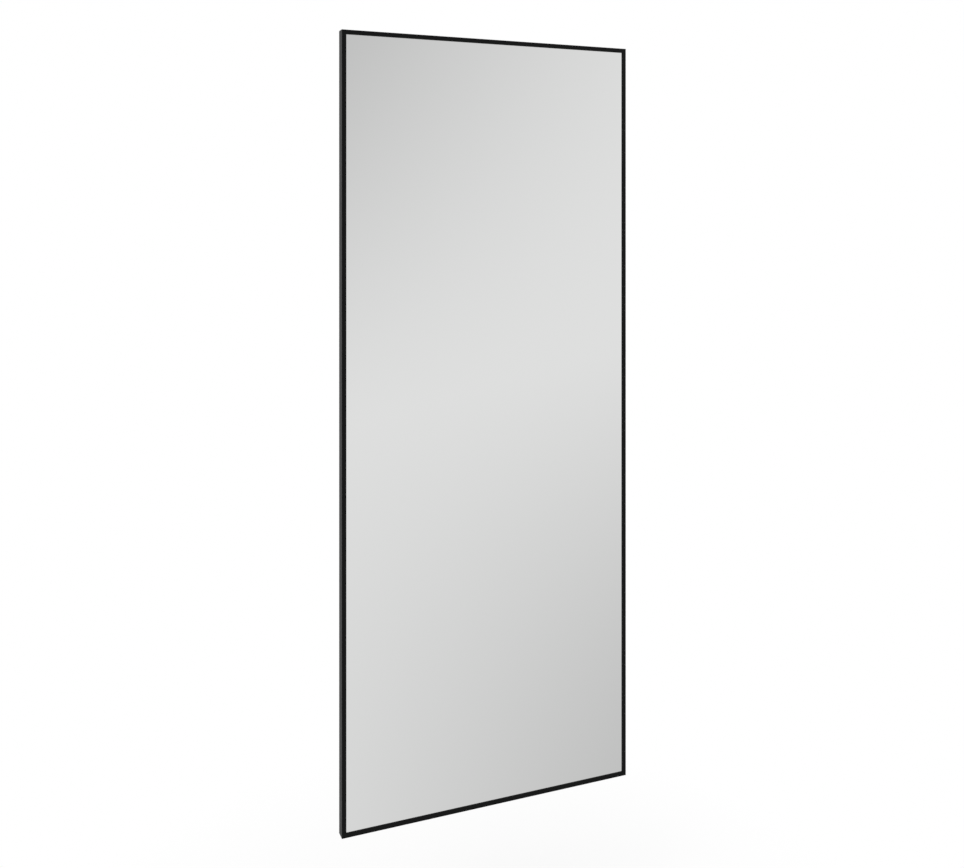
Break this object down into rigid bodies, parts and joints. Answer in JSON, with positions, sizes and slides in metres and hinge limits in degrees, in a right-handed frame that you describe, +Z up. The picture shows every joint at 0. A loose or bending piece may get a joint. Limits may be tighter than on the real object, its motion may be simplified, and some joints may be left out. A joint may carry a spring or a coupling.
{
  "type": "pull-out closet mirror",
  "caption": "Tall black-framed closet mirror that pulls out on ball-bearing slides and swivels on a steel post.",
  "frame": {"origin": "centre of the panel screw pattern, on the plane where the bars lie against the wardrobe's side panel", "axes": "+Z up, +Y into the side panel, so the closed mirror faces -Y; the mirror pulls out along -X"},
  "size_m": [0.48, 0.0529, 1.2],
  "materials": {
    "frame_black": "satin black powder coat",
    "mirror_silver": "polished silvered float glass",
    "film_grey": "safety film",
    "board_grey": "dark faced hardboard",
    "rubber_black": "matt",
    "key_aluminium": "mill finish",
    "screw_zinc": "zinc plated",
    "slide_zinc": "bright zinc plated strip",
    "ball_steel": "polished bearing balls",
    "post_black": "satin black powder coat",
    "bush_acetal": "natural acetal",
    "catch_plastic": "moulded",
    "magnet_ferrite": "sintered ferrite",
    "pin_steel": "turned steel"
  },
  "bodies": {
    "wall_frame": {"front_mounting_bar": "post_black", "rear_mounting_bar": "post_black", "upper_cabinet_member": "slide_zinc", "lower_cabinet_member": "slide_zinc", "slide_rivets": "screw_zinc", "slide_closing_stops": "rubber_black"},
    "outer_cages": {"upper_outer_ball_cage": "slide_zinc", "lower_outer_ball_cage": "slide_zinc", "outer_balls": "ball_steel"},
    "middle_members": {"upper_middle_member": "slide_zinc", "lower_middle_member": "slide_zinc"},
    "inner_cages": {"upper_inner_ball_cage": "slide_zinc", "lower_inner_ball_cage": "slide_zinc", "inner_balls": "ball_steel"},
    "carriage": {"upper_inner_member": "slide_zinc", "lower_inner_member": "slide_zinc", "pivot_post": "post_black", "upper_post_bracket": "post_black", "lower_post_bracket": "post_black", "post_grub_screws": "screw_zinc", "post_bracket_screws": "screw_zinc", "upper_post_bush": "bush_acetal", "lower_post_bush": "bush_acetal", "upper_thrust_washer": "bush_acetal", "lower_thrust_washer": "bush_acetal", "rear_tie_bar": "post_black", "tie_bar_screws": "screw_zinc", "leaf_bumpers": "rubber_black", "catch_case": "catch_plastic", "catch_screws": "screw_zinc", "catch_pole_plates": "screw_zinc", "catch_magnet": "magnet_ferrite"},
    "mirror_leaf": {"mirror_glass": "mirror_silver", "safety_film": "film_grey", "backing_board": "board_grey", "glazing_seals": "rubber_black", "frame_left_stile": "frame_black", "frame_right_stile": "frame_black", "frame_top_rail": "frame_black", "frame_bottom_rail": "frame_black", "corner_keys": "key_aluminium", "corner_set_screws": "screw_zinc", "upper_pivot_bracket": "post_black", "lower_pivot_bracket": "post_black", "upper_pivot_pin": "pin_steel", "lower_pivot_pin": "pin_steel", "pivot_bracket_screws": "screw_zinc", "strike_plate": "screw_zinc", "strike_screws": "screw_zinc"}
  },
  "joints": [
    {"name": "mirror_slide", "type": "slide", "parent": "wall_frame", "child": "carriage", "axis": [-1, 0, 0], "range_m": [0, 0.45]},
    {"name": "middle_slide", "type": "slide", "parent": "wall_frame", "child": "middle_members", "axis": [-1, 0, 0], "range_m": [0, 0.225]},
    {"name": "outer_cage_roll", "type": "slide", "parent": "wall_frame", "child": "outer_cages", "axis": [-1, 0, 0], "range_m": [0, 0.1125]},
    {"name": "inner_cage_roll", "type": "slide", "parent": "wall_frame", "child": "inner_cages", "axis": [-1, 0, 0], "range_m": [0, 0.3375]},
    {"name": "mirror_swivel", "type": "hinge", "parent": "carriage", "child": "mirror_leaf", "pos_m": [-0.224, -0.02592, 0], "axis": [0, 0, -1], "range_deg": [0, 90]}
  ],
  "couplings": [
    {"joint": "middle_slide", "follows": "mirror_slide", "ratio": 0.5},
    {"joint": "outer_cage_roll", "follows": "mirror_slide", "ratio": 0.25},
    {"joint": "inner_cage_roll", "follows": "mirror_slide", "ratio": 0.75}
  ]
}
